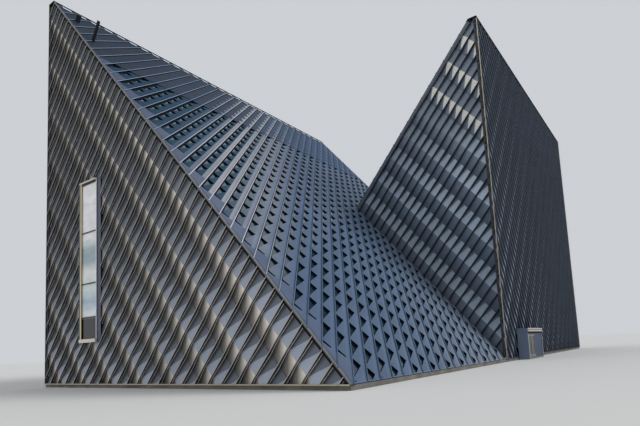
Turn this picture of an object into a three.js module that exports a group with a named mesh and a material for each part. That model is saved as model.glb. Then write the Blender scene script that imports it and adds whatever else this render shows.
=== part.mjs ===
// Modern church: two long wedge-shaped halls that lie against each other, turned half round.
// Scale model at 1:2. Units are millimetres of the model, +Z is up, +X runs along the long side.
// The plan is a parallelogram, and the origin is at its middle, on the ground.
//
// Places on the plan are given in two slanted measures:
//   u, the distance along the long side from the near corner
//   s, the distance along the short side from the near corner
// The building looks the same after half a turn about the middle, so most pieces are made twice.

import * as THREE from "three";

// Scale: real sizes in metres are turned into millimetres of the model
const MODEL_SCALE = 1 / 2;
const metres = (real) => real * 1000 * MODEL_SCALE;

// Driving dimensions
const PLAN_ANGLE = THREE.MathUtils.degToRad(70);
const LENGTH = metres(68.0);
const WIDTH = metres(26.6);
const HEIGHT = metres(25.6);
const HALL_SHIFT = metres(26.8);
const RIDGE_FLAT = metres(0.75);
const SLOPE_FOOT = metres(0.25);
const PLINTH_HEIGHT = metres(0.17);
const WALL = metres(0.4);
const ROOF_DEPTH = metres(0.45);
const COPING_DEPTH = metres(0.16);
const FLOOR_TOP = metres(0.12);
const PLINTH_INSET = metres(0.06);
const PLINTH_WIDTH = metres(0.6);
const GLAZED_TO = metres(19.8);
const SEAT = 0.3;

// Diagonal ribs on the long walls: one for every third fin of the folded cladding
const FIN_SPACING = metres(1.048);
const FINS_PER_RIB = 3;
const RIB_WIDTH = metres(0.16);
const RIB_HEIGHT = metres(0.15);

// Tall window in the front wall
const WINDOW_NEAR = metres(19.75);
const WINDOW_FAR = metres(21.75);
const WINDOW_SILL = metres(2.54);
const WINDOW_HEAD = metres(12.05);
const CROSS_BARS = [3.98, 5.94, 8.97].map(metres);
const FRAME_BAR = metres(0.05);
const FRAME_FOOT = metres(0.24);
const FRAME_HEAD = metres(0.18);
const FRAME_DEPTH = metres(0.07);
const FRAME_SETBACK = metres(0.03);
const GLASS_THICK = metres(0.03);
const SILL_HEIGHT = metres(0.2);
const LINTEL_HEIGHT = metres(0.06);
const TRIM_PROUD = metres(0.1);

// Entrance box on the side wall
const PORCH_START = metres(31.0);
const PORCH_END = metres(37.1);
const PORCH_DEPTH = metres(0.78);
const PORCH_HEIGHT = metres(2.3);
const PORCH_WALL = metres(0.14);
const PORCH_ROOF = metres(0.38);
const FASCIA_HEIGHT = metres(0.1);
const FASCIA_DEPTH = metres(0.07);
const FASCIA_GAP = metres(0.06);
const DOOR_SETBACK = metres(0.04);
const DOOR_FRAME = metres(0.08);
const DOOR_FRAME_DEPTH = metres(0.12);
const DOOR_HEAD = metres(1.84);
const DOOR_LEAF_WIDTH = metres(1.28);
const DOOR_LEAF_THICK = metres(0.06);
const PIVOT_RADIUS = DOOR_LEAF_THICK / 2;
const PIVOT_INSET = metres(0.055);
const DOOR_CLEARANCE = 6;
const DOOR_STILE = metres(0.15);
const DOOR_GLASS = metres(0.024);
const DOOR_RAIL = metres(0.22);

// Small pieces on the roof
const VENT_U = metres(0.95);
const VENT_S = metres(24.0);
const VENT_WIDE = metres(0.3);
const VENT_LENGTH = metres(0.45);
const POST_U = metres(1.02);
const POST_S = metres(21.83);
const POST_WIDE = metres(0.2);
const POST_LENGTH = metres(1.32);
const POST_LEAN = THREE.MathUtils.degToRad(36);
const GUTTER_HALF = metres(0.35);
const GUTTER_DEPTH = metres(0.12);

// Values that follow from the driving dimensions
const COS = Math.cos(PLAN_ANGLE);
const SIN = Math.sin(PLAN_ANGLE);
const HALL_LENGTH = LENGTH - HALL_SHIFT;
const RISE = (HEIGHT - SLOPE_FOOT) / (WIDTH - RIDGE_FLAT);
const WALL_S = WALL / SIN;
const VALLEY_S = WIDTH / 2;
const MIDDLE_X = (LENGTH + WIDTH * COS) / 2;
const MIDDLE_Y = (WIDTH * SIN) / 2;

const slopeTop = (s) => SLOPE_FOOT + RISE * s;
const slopeAt = (z) => (z - SLOPE_FOOT) / RISE;

// Materials
const finish = (colour, roughness, metalness) =>
  new THREE.MeshStandardMaterial({ color: colour, roughness, metalness });
const darkMetal = finish(0x3a4048, 0.45, 0.7);
const paleMetal = finish(0x68758a, 0.4, 0.7);
const trimMetal = finish(0xb9b3a2, 0.45, 0.6);
const blackMetal = finish(0x1b1d20, 0.5, 0.5);
const concrete = finish(0x8a8884, 0.9, 0);
const panel = finish(0x4a5464, 0.5, 0.3);
const glass = new THREE.MeshStandardMaterial({
  color: 0x2f5a68,
  roughness: 0.05,
  metalness: 0,
  transparent: true,
  opacity: 0.4,
});

const church = new THREE.Group();

// A piece with one outline in the slanted upright plane (s, z), running from u0 to u1
function alongLength(outline, u0, u1, holes = []) {
  const shape = new THREE.Shape(outline.map(([s, z]) => new THREE.Vector2(s, z)));
  for (const hole of holes) {
    shape.holes.push(new THREE.Path(hole.map(([s, z]) => new THREE.Vector2(s, z))));
  }
  const geometry = new THREE.ExtrudeGeometry(shape, { depth: u1 - u0, bevelEnabled: false });
  const slant = new THREE.Matrix4().set(
    COS, 0, 1, u0 - MIDDLE_X,
    SIN, 0, 0, -MIDDLE_Y,
    0, 1, 0, 0,
    0, 0, 0, 1,
  );
  return geometry.applyMatrix4(slant);
}

// A piece with one outline in the square upright plane (u, z) of the side wall,
// running outwards from the wall's face between two depths
function outFromSide(outline, depth0, depth1, holes = []) {
  const shape = new THREE.Shape(outline.map(([u, z]) => new THREE.Vector2(u, z)));
  for (const hole of holes) {
    shape.holes.push(new THREE.Path(hole.map(([u, z]) => new THREE.Vector2(u, z))));
  }
  const geometry = new THREE.ExtrudeGeometry(shape, { depth: depth1 - depth0, bevelEnabled: false });
  const upright = new THREE.Matrix4().set(
    1, 0, 0, -MIDDLE_X,
    0, 0, -1, -depth0 - MIDDLE_Y,
    0, 1, 0, 0,
    0, 0, 0, 1,
  );
  return geometry.applyMatrix4(upright);
}

const rectangle = (a0, a1, z0, z1) => [[a0, z0], [a1, z0], [a1, z1], [a0, z1]];

function add(name, geometry, material) {
  const mesh = new THREE.Mesh(geometry, material);
  mesh.name = name;
  church.add(mesh);
  return mesh;
}

// The same piece again, half a turn round the middle of the plan
function addPair(name, turnedName, geometry, material) {
  add(name, geometry, material);
  add(turnedName, geometry, material).rotation.z = Math.PI;
}

// End walls: upright triangles, each with a tall window
function endWalls() {
  const top = HEIGHT - COPING_DEPTH - SEAT;
  const foot = PLINTH_HEIGHT + SEAT;
  const outline = [
    [0, foot],
    [WIDTH, foot],
    [WIDTH, top],
    [slopeAt(top), top],
    [0, SLOPE_FOOT],
  ];
  const window = rectangle(WINDOW_NEAR, WINDOW_FAR, WINDOW_SILL, WINDOW_HEAD);
  addPair("front_wall", "far_wall", alongLength(outline, 0, WALL, [window]), darkMetal);
}

// Window frame with its cross bars, the glass behind them, and the sill and lintel trims
function windows() {
  const near = WINDOW_NEAR + SEAT;
  const far = WINDOW_FAR - SEAT;
  const low = WINDOW_SILL + SEAT;
  const high = WINDOW_HEAD - SEAT;
  const barEdges = CROSS_BARS.flatMap((z) => [z - FRAME_BAR / 2, z + FRAME_BAR / 2]);
  const levels = [low + FRAME_FOOT, ...barEdges, high - FRAME_HEAD];
  const openings = [];
  for (let i = 0; i < levels.length; i += 2) {
    openings.push(rectangle(near + FRAME_BAR, far - FRAME_BAR, levels[i], levels[i + 1]));
  }
  const frameFront = FRAME_SETBACK;
  const frameBack = FRAME_SETBACK + FRAME_DEPTH;
  const frame = alongLength(rectangle(near, far, low, high), frameFront, frameBack, openings);
  addPair("front_window_frame", "far_window_frame", frame, blackMetal);
  const pane = rectangle(near, far, low, high);
  const glassFront = frameBack + SEAT;
  const sheet = alongLength(pane, glassFront, glassFront + GLASS_THICK);
  addPair("front_window_glass", "far_window_glass", sheet, glass);
  const sill = rectangle(near, far, low, low + SILL_HEIGHT);
  const sillPiece = alongLength(sill, -TRIM_PROUD, frameFront - SEAT);
  addPair("front_window_sill", "far_window_sill", sillPiece, trimMetal);
  const lintel = rectangle(near, far, high - LINTEL_HEIGHT, high);
  const lintelPiece = alongLength(lintel, -TRIM_PROUD, frameFront - SEAT);
  addPair("front_window_lintel", "far_window_lintel", lintelPiece, trimMetal);
}

// A band of the sloping roof between two places on the short side
function slopeBand(s0, s1, u0, u1) {
  const foot = SLOPE_FOOT + SEAT;
  const outline = [[s0, slopeTop(s0)], [s1, slopeTop(s1)], [s1, slopeTop(s1) - ROOF_DEPTH]];
  if (slopeTop(s0) - ROOF_DEPTH < foot) {
    outline.push([slopeAt(foot + ROOF_DEPTH), foot], [slopeAt(foot), foot]);
    outline.shift();
  } else {
    outline.push([s0, slopeTop(s0) - ROOF_DEPTH]);
  }
  return alongLength(outline.reverse(), u0, u1);
}

// The glazed slopes, the closed band above them, and the part beside the valley
function slopes() {
  const low = slopeBand(0, GLAZED_TO, WALL + SEAT, HALL_SHIFT - SEAT);
  addPair("front_slope_glazing", "rear_slope_glazing", low, paleMetal);
  const inner = slopeBand(VALLEY_S + SEAT, GLAZED_TO, HALL_SHIFT + SEAT, HALL_LENGTH - WALL - SEAT);
  addPair("front_valley_glazing", "rear_valley_glazing", inner, paleMetal);
  const top = slopeAt(HEIGHT - COPING_DEPTH - SEAT);
  const band = alongLength(
    [
      [GLAZED_TO + SEAT, slopeTop(GLAZED_TO + SEAT) - ROOF_DEPTH],
      [top, slopeTop(top) - ROOF_DEPTH],
      [top + ROOF_DEPTH / RISE, slopeTop(top)],
      [top, slopeTop(top)],
      [GLAZED_TO + SEAT, slopeTop(GLAZED_TO + SEAT)],
    ],
    WALL + SEAT,
    HALL_LENGTH - WALL - SEAT,
  );
  addPair("front_slope_roof", "rear_slope_roof", band, paleMetal);
}

// Gable walls: the upright triangles that stand over the other hall's slope
function gables() {
  const top = HEIGHT - COPING_DEPTH - SEAT;
  const under = (s) => slopeTop(s) - ROOF_DEPTH;
  const reach = VALLEY_S - SEAT;
  const foot = PLINTH_HEIGHT + SEAT;
  const outline = [
    [0, foot],
    [slopeAt(foot + ROOF_DEPTH), foot],
    [reach, under(reach)],
    [reach, slopeTop(WIDTH - reach)],
    [WIDTH - slopeAt(top), top],
    [0, top],
  ];
  const wall = alongLength(outline, HALL_SHIFT, HALL_SHIFT + WALL);
  addPair("tower_gable", "hall_gable", wall, darkMetal);
}

// A closed body in the making: flat faces of places (u, depth into the wall, z) in the slanted plan
class Faces {
  constructor() {
    this.corners = [];
  }

  // A convex face, seen anticlockwise from outside
  face(...places) {
    for (let i = 2; i < places.length; i += 1) {
      for (const [u, depth, z] of [places[0], places[i - 1], places[i]]) {
        this.corners.push(u + (depth * COS) / SIN - MIDDLE_X, depth - MIDDLE_Y, z);
      }
    }
  }

  // The upright face under one edge of a front face, between two depths
  side([u0, z0], [u1, z1], front, back) {
    this.face([u0, back, z0], [u1, back, z1], [u1, front, z1], [u0, front, z0]);
  }

  geometry() {
    const geometry = new THREE.BufferGeometry();
    geometry.setAttribute("position", new THREE.Float32BufferAttribute(this.corners, 3));
    geometry.computeVertexNormals();
    return geometry;
  }
}

// The part of a wall's rectangle between the diagonals u + z = c0 and u + z = c1:
// its border along the foot and far end, then its border along the head and near end
function diagonalBand([u0, u1, z0, z1], c0, c1) {
  const foot = (c) => (c - z0 < u1 ? [c - z0, z0] : [u1, c - u1]);
  const head = (c) => (c - z1 > u0 ? [c - z1, z1] : [u0, c - u0]);
  const low = [foot(c0), foot(c1)];
  const high = [head(c1), head(c0)];
  if (c0 < u1 + z0 && u1 + z0 < c1) low.splice(1, 0, [u1, z0]);
  if (c0 < u0 + z1 && u0 + z1 < c1) high.splice(1, 0, [u0, z1]);
  return [low, high];
}

const same = (p, q) => Math.hypot(p[0] - q[0], p[1] - q[1]) < SEAT;

// One band of a ribbed wall: a rib at the wall's face, or the cut back face between two ribs
function wallBand(faces, [low, high], rib) {
  const front = rib ? 0 : RIB_HEIGHT;
  const around = [...low, ...high].filter((place, i, all) => !same(place, all.at(i - 1)));
  faces.face(...around.map(([u, z]) => [u, front, z]));
  faces.face(...around.map(([u, z]) => [u, WALL, z]).reverse());
  for (const border of [low, high]) {
    for (let i = 1; i < border.length; i += 1) {
      const edge = [border[i - 1], border[i]];
      if (same(...edge)) continue;
      if (rib) faces.side(...edge, 0, RIB_HEIGHT);
      faces.side(...edge, RIB_HEIGHT, WALL);
    }
  }
  for (const [from, to] of [[low.at(-1), high[0]], [high.at(-1), low[0]]]) {
    if (rib && !same(from, to)) faces.side(from, to, 0, RIB_HEIGHT);
  }
}

// A wall slab whose front face is cut back between diagonal ribs
function ribbedWall(u0, u1, z0, z1) {
  const half = (RIB_WIDTH * Math.SQRT2) / 2;
  const pitch = FINS_PER_RIB * FIN_SPACING;
  const first = HALL_SHIFT + SLOPE_FOOT;
  const least = u0 + z0;
  const most = u1 + z1;
  const borders = [least];
  for (let c = first; c < most; c += pitch) {
    borders.push(...[c - half, c + half].filter((edge) => edge > least + half && edge < most - half));
  }
  borders.push(most);
  const faces = new Faces();
  for (let i = 1; i < borders.length; i += 1) {
    const steps = ((borders[i - 1] + borders[i]) / 2 - first) / pitch;
    const rib = Math.abs(steps - Math.round(steps)) * pitch < half;
    wallBand(faces, diagonalBand([u0, u1, z0, z1], borders[i - 1], borders[i]), rib);
  }
  return faces.geometry();
}

// Long upright walls: the side wall is split beside and over the doorway, the back wall is whole
function longWalls() {
  const top = HEIGHT - COPING_DEPTH - SEAT;
  const foot = PLINTH_HEIGHT + SEAT;
  const start = HALL_SHIFT + WALL + SEAT;
  const end = LENGTH - WALL - SEAT;
  const doorStart = PORCH_START + PORCH_WALL;
  const doorEnd = PORCH_END - PORCH_WALL;
  const overDoor = PORCH_HEIGHT - PORCH_ROOF;
  add("side_wall_near", ribbedWall(start, doorStart, foot, top), darkMetal);
  add("side_wall_far", ribbedWall(doorEnd, end, foot, top), darkMetal);
  const over = ribbedWall(doorStart + SEAT, doorEnd - SEAT, overDoor, top);
  add("side_wall_over_door", over, darkMetal);
  add("back_wall", ribbedWall(start, end, foot, top), darkMetal).rotation.z = Math.PI;
}

// Copings on the two level ridges
function ridges() {
  const low = HEIGHT - COPING_DEPTH;
  const outline = [[slopeAt(low), low], [WIDTH, low], [WIDTH, HEIGHT], [slopeAt(HEIGHT), HEIGHT]];
  addPair("front_ridge", "tower_ridge", alongLength(outline, 0, HALL_LENGTH), blackMetal);
}

// The valley between the two halls has a sheet metal gutter
function gutter() {
  const bottom = slopeTop(VALLEY_S) + SEAT;
  const outline = [
    [VALLEY_S, bottom],
    [VALLEY_S + GUTTER_HALF, bottom + RISE * GUTTER_HALF],
    [VALLEY_S + GUTTER_HALF - GUTTER_DEPTH, bottom + RISE * GUTTER_HALF],
    [VALLEY_S, bottom + RISE * GUTTER_DEPTH],
    [VALLEY_S - GUTTER_HALF + GUTTER_DEPTH, bottom + RISE * GUTTER_HALF],
    [VALLEY_S - GUTTER_HALF, bottom + RISE * GUTTER_HALF],
  ];
  add("valley_gutter", alongLength(outline, HALL_SHIFT + WALL, HALL_LENGTH - WALL), blackMetal);
}

// Plinths under the walls and kerbs under the feet of the slopes
function plinths() {
  const innerS = PLINTH_WIDTH / SIN;
  const front = rectangle(PLINTH_INSET, WIDTH - PLINTH_INSET, 0, PLINTH_HEIGHT);
  addPair("front_plinth", "far_plinth", alongLength(front, PLINTH_INSET, WALL), concrete);
  const kerb = rectangle(PLINTH_INSET, innerS, 0, SLOPE_FOOT);
  const kerbPiece = alongLength(kerb, WALL + SEAT, HALL_SHIFT - SEAT);
  addPair("front_kerb", "rear_kerb", kerbPiece, concrete);
  const plinth = rectangle(PLINTH_INSET, innerS, 0, PLINTH_HEIGHT);
  const start = HALL_SHIFT + SEAT;
  const end = LENGTH - WALL - SEAT;
  const doorStart = PORCH_START + PORCH_WALL;
  const doorEnd = PORCH_END - PORCH_WALL;
  add("side_plinth_near", alongLength(plinth, start, doorStart - SEAT), concrete);
  add("side_plinth_far", alongLength(plinth, doorEnd + SEAT, end), concrete);
  const back = alongLength(plinth, start, end);
  add("back_plinth", back, concrete).rotation.z = Math.PI;
}

function floor() {
  const sideS = PLINTH_WIDTH / SIN + SEAT;
  const side = WALL + SEAT;
  const slab = alongLength(rectangle(sideS, WIDTH - sideS, 0, FLOOR_TOP), side, LENGTH - side);
  add("floor_slab", slab, concrete);
}

// Entrance box: side walls, roof, fascias and threshold
function porch() {
  const face = SEAT;
  const front = PORCH_DEPTH;
  const roofLow = PORCH_HEIGHT - PORCH_ROOF;
  const wallTop = roofLow - SEAT;
  const nearWall = rectangle(PORCH_START, PORCH_START + PORCH_WALL, 0, wallTop);
  add("porch_wall_near", outFromSide(nearWall, face, front), panel);
  const farWall = rectangle(PORCH_END - PORCH_WALL, PORCH_END, 0, wallTop);
  add("porch_wall_far", outFromSide(farWall, face, front), panel);
  const roof = rectangle(PORCH_START, PORCH_END, roofLow, PORCH_HEIGHT);
  add("porch_roof", outFromSide(roof, face, front), panel);
  const upper = rectangle(PORCH_START, PORCH_END, PORCH_HEIGHT - FASCIA_HEIGHT, PORCH_HEIGHT);
  add("porch_fascia_upper", outFromSide(upper, front + SEAT, front + FASCIA_DEPTH), trimMetal);
  const lowerTop = PORCH_HEIGHT - FASCIA_HEIGHT - FASCIA_GAP;
  const lower = rectangle(PORCH_START, PORCH_END, lowerTop - FASCIA_HEIGHT, lowerTop);
  add("porch_fascia_lower", outFromSide(lower, front + SEAT, front + FASCIA_DEPTH), trimMetal);
  const inside0 = PORCH_START + PORCH_WALL + SEAT;
  const inside1 = PORCH_END - PORCH_WALL - SEAT;
  const threshold = rectangle(inside0, inside1, 0, FLOOR_TOP);
  add("threshold", outFromSide(threshold, face, front), concrete);
  const sill = rectangle(0, PLINTH_WIDTH / SIN, 0, FLOOR_TOP);
  add("doorway_sill", alongLength(sill, inside0, inside1), concrete);
}

// Door frame with a fixed side panel, and the two glazed leaves that swing outwards
function entrance() {
  const back = PORCH_DEPTH - DOOR_SETBACK - DOOR_FRAME_DEPTH;
  const front = PORCH_DEPTH - DOOR_SETBACK;
  const inside0 = PORCH_START + PORCH_WALL + SEAT;
  const inside1 = PORCH_END - PORCH_WALL - SEAT;
  const low = FLOOR_TOP + SEAT;
  const head = PORCH_HEIGHT - PORCH_ROOF - SEAT;
  const doorway0 = inside0 + DOOR_FRAME;
  const doorway1 = doorway0 + 2 * (PIVOT_INSET + PIVOT_RADIUS + SEAT + DOOR_LEAF_WIDTH) + DOOR_CLEARANCE;
  const frame = [
    [inside0, low],
    [doorway0, low],
    [doorway0, DOOR_HEAD],
    [doorway1, DOOR_HEAD],
    [doorway1, low],
    [doorway1 + DOOR_FRAME, low],
    [doorway1 + DOOR_FRAME, head],
    [inside0, head],
  ];
  add("door_frame", outFromSide(frame, back, front), trimMetal);
  const panelStart = doorway1 + DOOR_FRAME + SEAT;
  const sidePanel = rectangle(panelStart, inside1, low, head);
  add("side_panel", outFromSide(sidePanel, back, front), panel);
  doorLeaf("near", doorway0 + PIVOT_INSET, 1, front);
  doorLeaf("far", doorway1 - PIVOT_INSET, -1, front);
}

// One leaf with its glass and the round pivot post that it turns on
function doorLeaf(side, pivotU, direction, front) {
  const edge = pivotU + direction * (PIVOT_RADIUS + SEAT);
  const meeting = edge + direction * DOOR_LEAF_WIDTH;
  const u0 = Math.min(edge, meeting);
  const u1 = Math.max(edge, meeting);
  const low = FLOOR_TOP + DOOR_CLEARANCE;
  const high = DOOR_HEAD - DOOR_CLEARANCE;
  const leafBack = front - DOOR_LEAF_THICK;
  const hole = rectangle(u0 + DOOR_STILE, u1 - DOOR_STILE, low + DOOR_RAIL, high - DOOR_STILE);
  const leaf = outFromSide(rectangle(u0, u1, low, high), leafBack, front, [hole]);
  add(`door_leaf_${side}`, leaf, trimMetal);
  const pane = rectangle(
    u0 + DOOR_STILE + SEAT,
    u1 - DOOR_STILE - SEAT,
    low + DOOR_RAIL + SEAT,
    high - DOOR_STILE - SEAT,
  );
  const paneBack = leafBack + (DOOR_LEAF_THICK - DOOR_GLASS) / 2;
  add(`door_glass_${side}`, outFromSide(pane, paneBack, paneBack + DOOR_GLASS), glass);
  const postLow = FLOOR_TOP + SEAT;
  const postHigh = DOOR_HEAD - SEAT;
  const post = new THREE.CylinderGeometry(PIVOT_RADIUS, PIVOT_RADIUS, postHigh - postLow, 16);
  post.rotateX(Math.PI / 2);
  const depth = front - DOOR_LEAF_THICK / 2;
  post.translate(pivotU - MIDDLE_X, -depth - MIDDLE_Y, (postLow + postHigh) / 2);
  add(`door_pivot_${side}`, post, trimMetal);
}

// A square tube that stands on the slope and leans back from it by an angle off the upright
function roofTube(name, u, s, wide, length, lean) {
  const s1 = s + wide / 2;
  const ds = -length * Math.sin(lean);
  const dz = length * Math.cos(lean);
  const outline = [
    [s, slopeTop(s) + SEAT],
    [s1, slopeTop(s1) + SEAT],
    [s1 + ds, slopeTop(s1) + SEAT + dz],
    [s + ds, slopeTop(s) + SEAT + dz],
  ];
  add(name, alongLength(outline, u, u + wide), blackMetal);
}

// The two tubes on the closed band of the front slope
function roofTubes() {
  roofTube("roof_vent", VENT_U, VENT_S, VENT_WIDE, VENT_LENGTH, POST_LEAN);
  roofTube("roof_post", POST_U, POST_S, POST_WIDE, POST_LENGTH, POST_LEAN);
}

endWalls();
windows();
slopes();
gables();
longWalls();
ridges();
gutter();
plinths();
floor();
porch();
entrance();
roofTubes();

export default church;
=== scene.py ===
import math
from collections import namedtuple

import bpy
import bmesh
from mathutils import Matrix, Vector


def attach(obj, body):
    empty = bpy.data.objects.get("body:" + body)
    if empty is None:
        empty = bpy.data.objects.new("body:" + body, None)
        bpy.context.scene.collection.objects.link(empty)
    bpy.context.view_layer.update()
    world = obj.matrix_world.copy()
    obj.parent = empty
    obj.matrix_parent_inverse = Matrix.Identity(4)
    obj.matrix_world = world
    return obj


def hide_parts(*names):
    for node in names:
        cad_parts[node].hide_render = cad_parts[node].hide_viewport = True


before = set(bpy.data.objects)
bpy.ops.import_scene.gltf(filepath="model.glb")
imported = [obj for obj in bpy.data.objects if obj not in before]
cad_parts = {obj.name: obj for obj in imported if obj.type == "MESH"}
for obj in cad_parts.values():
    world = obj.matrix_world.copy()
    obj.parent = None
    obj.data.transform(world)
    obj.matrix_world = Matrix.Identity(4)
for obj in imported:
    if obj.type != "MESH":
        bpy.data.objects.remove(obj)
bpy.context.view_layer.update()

# Sizes are real metres; the model is built at 1:2.
#
# Places on the plan are given in two slanted measures:
#   u, the distance along the long side from the near corner
#   s, the distance along the short side from the near corner
# On a flat side, h runs along it, v runs up it, and depth runs into the building.

# Driving dimensions, as in the part's source
MODEL_SCALE = 0.5
PLAN_ANGLE = math.radians(70)
LENGTH = 68.0
WIDTH = 26.6
HEIGHT = 25.6
HALL_SHIFT = 26.8
RIDGE_FLAT = 0.75
SLOPE_FOOT = 0.25
PLINTH_HEIGHT = 0.17
COPING_DEPTH = 0.16
GLAZED_TO = 19.8
WINDOW_NEAR = 19.75
WINDOW_FAR = 21.75
WINDOW_SILL = 2.54
WINDOW_HEAD = 12.05
PORCH_START = 31.0
PORCH_END = 37.1
PORCH_HEIGHT = 2.3
PORCH_INSIDE = 1.92
PORCH_DEPTH = 0.78
PORCH_WALL = 0.14

# Values that follow from them
COS = math.cos(PLAN_ANGLE)
SIN = math.sin(PLAN_ANGLE)
SLANT = COS / SIN
HALL_LENGTH = LENGTH - HALL_SHIFT
RISE = (HEIGHT - SLOPE_FOOT) / (WIDTH - RIDGE_FLAT)
WALL_FOOT = PLINTH_HEIGHT - SLOPE_FOOT
WALL_TOP = HEIGHT - COPING_DEPTH - SLOPE_FOOT
VALLEY_S = WIDTH / 2
MIDDLE_X = (LENGTH + WIDTH * COS) / 2
MIDDLE_Y = WIDTH * SIN / 2

# The way up the slope for each metre of s, and the cosine of the slope's angle
SLOPE_METRE = math.hypot(SIN, RISE)
SLOPE_LEVEL = SIN / SLOPE_METRE

# Folded cladding of the upright walls: fins at 45 degrees, with sheets folded in rows between them
FIN_PITCH = 0.741
FIN_FIRST = 0.45
FIN_THICK = 0.035
FIN_CAP_DEPTH = 0.03
CAP_GAP = 0.002
HEM_WIDTH = 0.035
HEM_PROUD = 0.05
# The crease is a near-black strip of painted shade down each valley
CREASE_WIDTH = 0.06
CREASE_LIFT = 0.004
CREASE_GAP = 0.005
LINE_UNDER = 0.02
ROW_PITCH = 2.22
FOLD_SKEW = 0.075
CREST_NEAR_FIN = 0.02
CREST_FAR_FIN = 0.12
VALLEY_NEAR_FIN = 0.10
VALLEY_FAR_FIN = 0.20
SHEET_BACK = 0.26

# Painted shade on the walls: darker away from the slope's edge, and from a height on
SHADE_REACH = 12.0
SHADE_START = -4.0
SHADE_HEIGHT = 14.0

# Tones of the folded sheets' corners, from 0, dark, to 1, light: painted light and shade, lighter where a
# facet faces the sky and darker where it faces down
UPWARD_TONES = (0.75, 0.9, 0.85, 0.7)
DOWNWARD_TONES = (0.15, 0.15, 0.4)
BRIGHT_TONES = (1.1, 1.0, 1.0, 1.0)
ROW_FACET = 0.2
CREST_FACET = 0.3
FOOT_FACET = 0.15
TIP_FACET = 0.1
MIDDLE_TONE = 0.5

# Trim along the edges of the upright walls
BAR_BACK = 0.2
TRIM_BACK = 0.05
EDGE_UNDER = 0.025
EDGE_TRIM_WIDTH = 0.022
EDGE_BAR_WIDTH = 0.09
EDGE_BAR_DEPTH = 0.012
END_BAR_WIDTH = 0.08
FOOT_BAR_WIDTH = 0.06
GABLE_BAR_WIDTH = 0.3
GABLE_UNDER = 0.06
GABLE_HIDDEN = 0.3
CORNER_WIDTH = 0.10
CORNER_START = 0.004
CORNER_WIDE = 0.055
CORNER_NARROW = 0.03
CORNER_TIP = 0.034
CORNER_FRONT = 0.01
CORNER_BACK = 0.08

# Boards and reveals beside the end windows
BOARD_NEAR = 0.45
BOARD_FAR = 0.3
BOARD_DEPTH = 0.06
REVEAL_NEAR = 0.05
REVEAL_FAR = 0.1
REVEAL_FRONT = 0.01
REVEAL_BACK = 0.03

# Lines on the front of the entrance box, the height of the plate of painted shadow under its fascias, and
# the foot of the gap that the cladding leaves for it
PORCH_SHADOW_SLOT = 0.115
LINE_PROUD = 0.006
DOORWAY_FOOT = -1.0

# Scales of the glazed slopes: fins at an angle up the slope, with triangular openings between them
SCALE_ANGLE = math.radians(33.7)
SCALE_PITCH = 0.746
SCALE_FIRST = 0.58
ROW_HEIGHT = 0.7935
ROW_SHIFT = 0.785
ROW_STAGGER = 0.5
SCALE_FIN = 0.05
PLATE_SHARE = 0.45
DARK_PLATE = 0.7
LIGHT_PLATE = 0.25
APEX_SHARE = 0.66
APEX_DEPTH = 0.05
FOLD_START = 0.24
FOLD_END = 0.49
FOLD_GAP = 0.08
FOLD_DEPTH = 0.09
GAP_DEPTH = 0.125
BAND_DEPTH = 0.07
CLOSED_DEPTH = 0.03
CLOSED_FOLD = 0.01
TOOTH_SHARE = 0.45
SHADOW_LINE = 0.07
SHADOW_LIFT = 0.004
EDGE_DEPTH = 0.003
THIN_BACK = 0.022
GLASS_DEPTH = 0.15
GLASS_GAP = 0.004
GLASS_BACK = 0.22
SCALE_MODULE = ROW_HEIGHT * SLOPE_METRE / math.sin(SCALE_ANGLE)

# Margins of the slopes, where their sheets are closed
EDGE_MARGIN = 0.12
PLATE_MARGIN = 0.3
PLATE_GAP = 0.42
FAR_MARGIN = 0.4
FOOT_MARGIN = 0.05
VALLEY_MARGIN = 0.6
END_GAP = 0.001

# Short light plates under the ridge
DASH_START = 0.1
DASH_END = 0.75
DASH_WIDTH = 0.22
DASH_BELOW = 0.12
DASH_BACK = 0.02
DASH_MARGIN = 0.5

# How the painted reflections of the sky and painted light on the slope's sheets shift: they follow s minus
# the lean below times u, spread over the span below in metres
PAINTED_LIGHT_LEAN = 0.68
PAINTED_LIGHT_LOW = -30.0
PAINTED_LIGHT_SPAN = 60.0

# Camera, solved from the photograph: the lens in pixels, the place in metres from the near corner
IMAGE_WIDTH = 640
IMAGE_HEIGHT = 426
SENSOR_WIDTH = 36.0
CAMERA_FOCAL = 721.06
CAMERA_MIDDLE = (314.73, 228.60)
CAMERA_PLACE = (-24.500, -10.876, 1.6)
CAMERA_HEADING = math.radians(26.178)
CAMERA_PITCH = math.radians(9.389)
CAMERA_ROLL = math.radians(2.841)
CAMERA_REACH = 2000

# Stage and light
FLOOR_REACH = 600.0
FLOOR_DROP = 0.002
FLOOR_COLOUR = (214, 213, 210)
FLOOR_ROUGH = 0.9
SKY_COLOUR = (226, 229, 234)
SKY_STRENGTH = 0.8
LAMP_ENERGY = 1.2
LAMP_SPREAD = math.radians(40)
LAMP_TILT = math.radians(48)
LAMP_TURN = math.radians(20)

# How near corners are joined: digits of a metre that count, and a distance in the mesh
PLACE_DIGITS = 4
MERGE_DISTANCE = 1e-6

# Materials

# Painted reflection on the end windows' glass: colours of 0 to 255 steps over its height, as (metres above
# ground, colour); dark ground in the lowest pane, then white and blue-grey bands of cloud
WINDOW_REFLECTION_BANDS = [
    (2.6, (34, 34, 32)),
    (3.9, (34, 34, 32)),
    (4.05, (255, 255, 255)),
    (4.9, (178, 204, 217)),
    (5.6, (231, 243, 241)),
    (6.6, (252, 255, 250)),
    (7.3, (164, 185, 192)),
    (8.0, (176, 194, 199)),
    (8.6, (255, 255, 255)),
    (11.9, (255, 255, 255)),
]
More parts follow.
